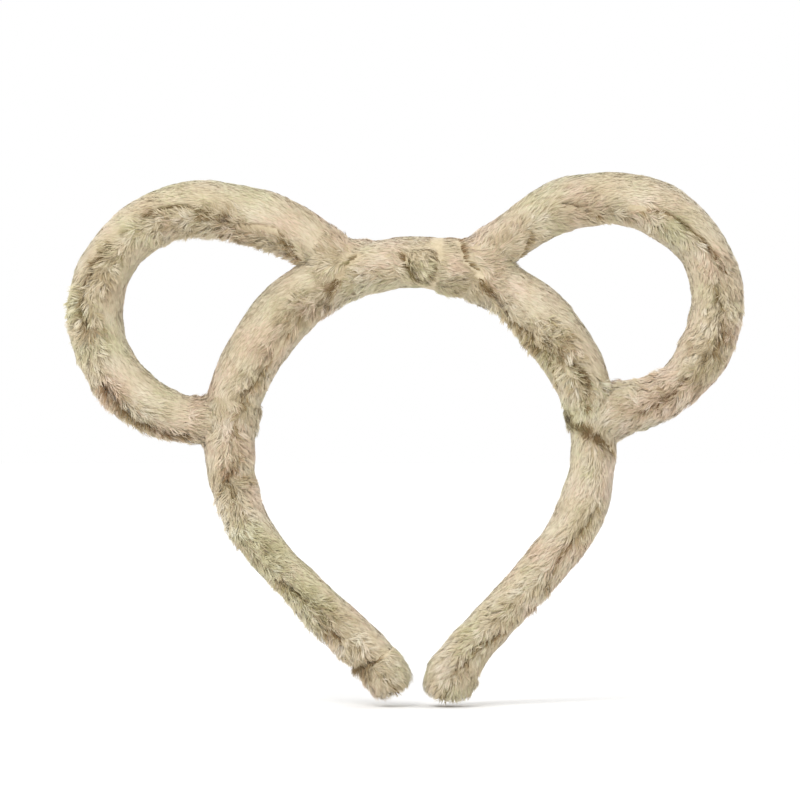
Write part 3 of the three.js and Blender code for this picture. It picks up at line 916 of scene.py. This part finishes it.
    # Tip cap
    cap_start, cap_end = band.length - CAP_LENGTH, band.length - CAP_SHORT
    cap_creases = [([(band.length - 9, 12), (band.length - 3, 0)], 1.0, 1.1)]
    cap_tube = Tube(plush, less(band_half, PILE - 0.35), creases=cap_creases, lumps=0.3, seed=60)
    cap_bore = plush_bore(
        plush, lambda s: (band_half(s) - PILE - 0.75) * np.clip((band.length - 4.5 - s) / 2, 0.02, 1) ** 0.5
    )
    cap = shell(
        f"{label}_tip_cap_undercoat", cap_tube, cap_start, cap_end, cap_bore, step=0.7, end_round=CAP_ROUND
    )
    cap.data.materials.append(MATERIALS["skin"])
    style = {key: constant(value) for key, value in CAP_FUR.items()}
    hair_name = f"{label}_tip_cap_fur"
    cap_hair = tube_fur(
        hair_name, cap_tube, cap_start, cap_end, style, density=4, seed=70 + sign, end_round=CAP_ROUND
    )
    for piece in (cap, cap_hair):
        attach(piece, arm)
    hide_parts(f"{label}_tip_cap")

# ---- The crown's wrap, with a soft knot on its front ----

CROWN_LEFT, CROWN_TURN = 12, 34  # the angle at which the path under it begins, and how far it turns
WRAP_LEFT, WRAP_RIGHT = 4.9, 11  # how far the wrap reaches from the middle, in degrees
WRAP_FUR = {"part": -8, "wide": 55, "rough": 0.6, "lean": 55, "lean_out": -50}

crown = Path(on_arch(-1, CROWN_LEFT), CROWN_LEFT, [[arch_length(CROWN_TURN), -CROWN_TURN]], 1)
crown_half = constant(CROWN_HALF - 0.1 - PILE + 0.6)
middle_s = arch_length(CROWN_LEFT)


class KnottedTube(Tube):
    """The wrap: it swells into a knot on its front, just right of the middle."""

    def point(self, s, theta, grow=0.0):
        t = (theta + 184) % 360 - 180
        knot = 2.4 * np.exp(-(((s - middle_s - 3.8) / 3.9) ** 4) - (t / 32) ** 4)
        lip = 0.3 * np.exp(-(((s - middle_s + 4.9) / 1.3) ** 2) - (t / 40) ** 4)
        return super().point(s, theta, grow + knot + lip)


# The knot's creases sink the skin by 0.3 mm at most; the rest of their dark line is painted shade on the hair.
wrap_tube = KnottedTube(
    crown,
    crown_half,
    creases=[
        ([(middle_s - 3.9, 18), (middle_s - 3.2, 0), (middle_s - 0.8, -18), (middle_s + 2.8, -40)], 1.2, 1.7),
        ([(middle_s + 7.9, 22), (middle_s + 8.2, 0), (middle_s + 7, -26)], 1.0, 1.5),
    ],
    lumps=0.25,
    seed=80,
    deepest=0.3,
)
wrap_from, wrap_to = middle_s - arch_length(WRAP_LEFT), middle_s + arch_length(WRAP_RIGHT)
wrap_bore = plush_bore(crown, less(crown_half, 1.3))
wrap = shell("crown_wrap_undercoat", wrap_tube, wrap_from, wrap_to, wrap_bore, step=0.8)
wrap.data.materials.append(MATERIALS["skin"])
style = {key: constant(value) for key, value in WRAP_FUR.items()}
wrap_hair = tube_fur("crown_wrap_fur", wrap_tube, wrap_from - 1.5, wrap_to + 1.5, style, seed=81, density=5)
for piece in (wrap, wrap_hair):
    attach(piece, "crown")
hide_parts("crown_wrap")

# ---- Kept CAD nodes ----

for name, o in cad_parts.items():
    for kind in ("strip", "wire", "tape"):
        if kind in name:
            o.data.materials.clear()
            o.data.materials.append(MATERIALS[kind])

# ---- Camera, floor and light, in metres ----

DISTANCE = 1.6
VIEW_WIDTH = 0.28
SENSOR = 36
FLOOR_GAP = 0.0002  # the floor lies just under the lowest hair

camera = bpy.data.objects.new("camera", bpy.data.cameras.new("camera"))
bpy.context.scene.collection.objects.link(camera)
bpy.context.scene.camera = camera
camera.data.sensor_width = SENSOR
camera.data.lens = SENSOR * DISTANCE / VIEW_WIDTH
camera.data.clip_end = 20
camera.location = (-0.00385, -DISTANCE, -0.03955)
camera.rotation_euler = (math.radians(90), 0, 0)

floor_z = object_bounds()[0][2] - FLOOR_GAP
bpy.ops.mesh.primitive_plane_add(size=12, location=(0, 0, floor_z))
floor = bpy.context.object
floor.name = "floor"
floor_material, _, floor_shader = material("pale_floor", 0.9, 0.0)
floor_shader.inputs["Base Color"].default_value = (0.93, 0.93, 0.93, 1)
floor.data.materials.append(floor_material)

world = bpy.data.worlds.new("studio")
bpy.context.scene.world = world
world.use_nodes = True
background = world.node_tree.nodes["Background"]
background.inputs["Color"].default_value = (1, 1, 1, 1)
background.inputs["Strength"].default_value = 1.0

sun = bpy.data.objects.new("sun", bpy.data.lights.new("sun", "SUN"))
sun.data.energy = 0.9
sun.data.angle = math.radians(35)
sun.rotation_euler = (math.radians(48), 0, math.radians(-22))
bpy.context.scene.collection.objects.link(sun)

key = bpy.data.objects.new("key", bpy.data.lights.new("key", "AREA"))
key.data.energy = 4.0
key.data.size = 0.5
key.location = (-0.5, -0.9, 0.8)
key.rotation_euler = (Vector((0, 0, -0.04)) - key.location).to_track_quat("-Z", "Y").to_euler()
bpy.context.scene.collection.objects.link(key)

bpy.context.scene.view_settings.view_transform = "Standard"
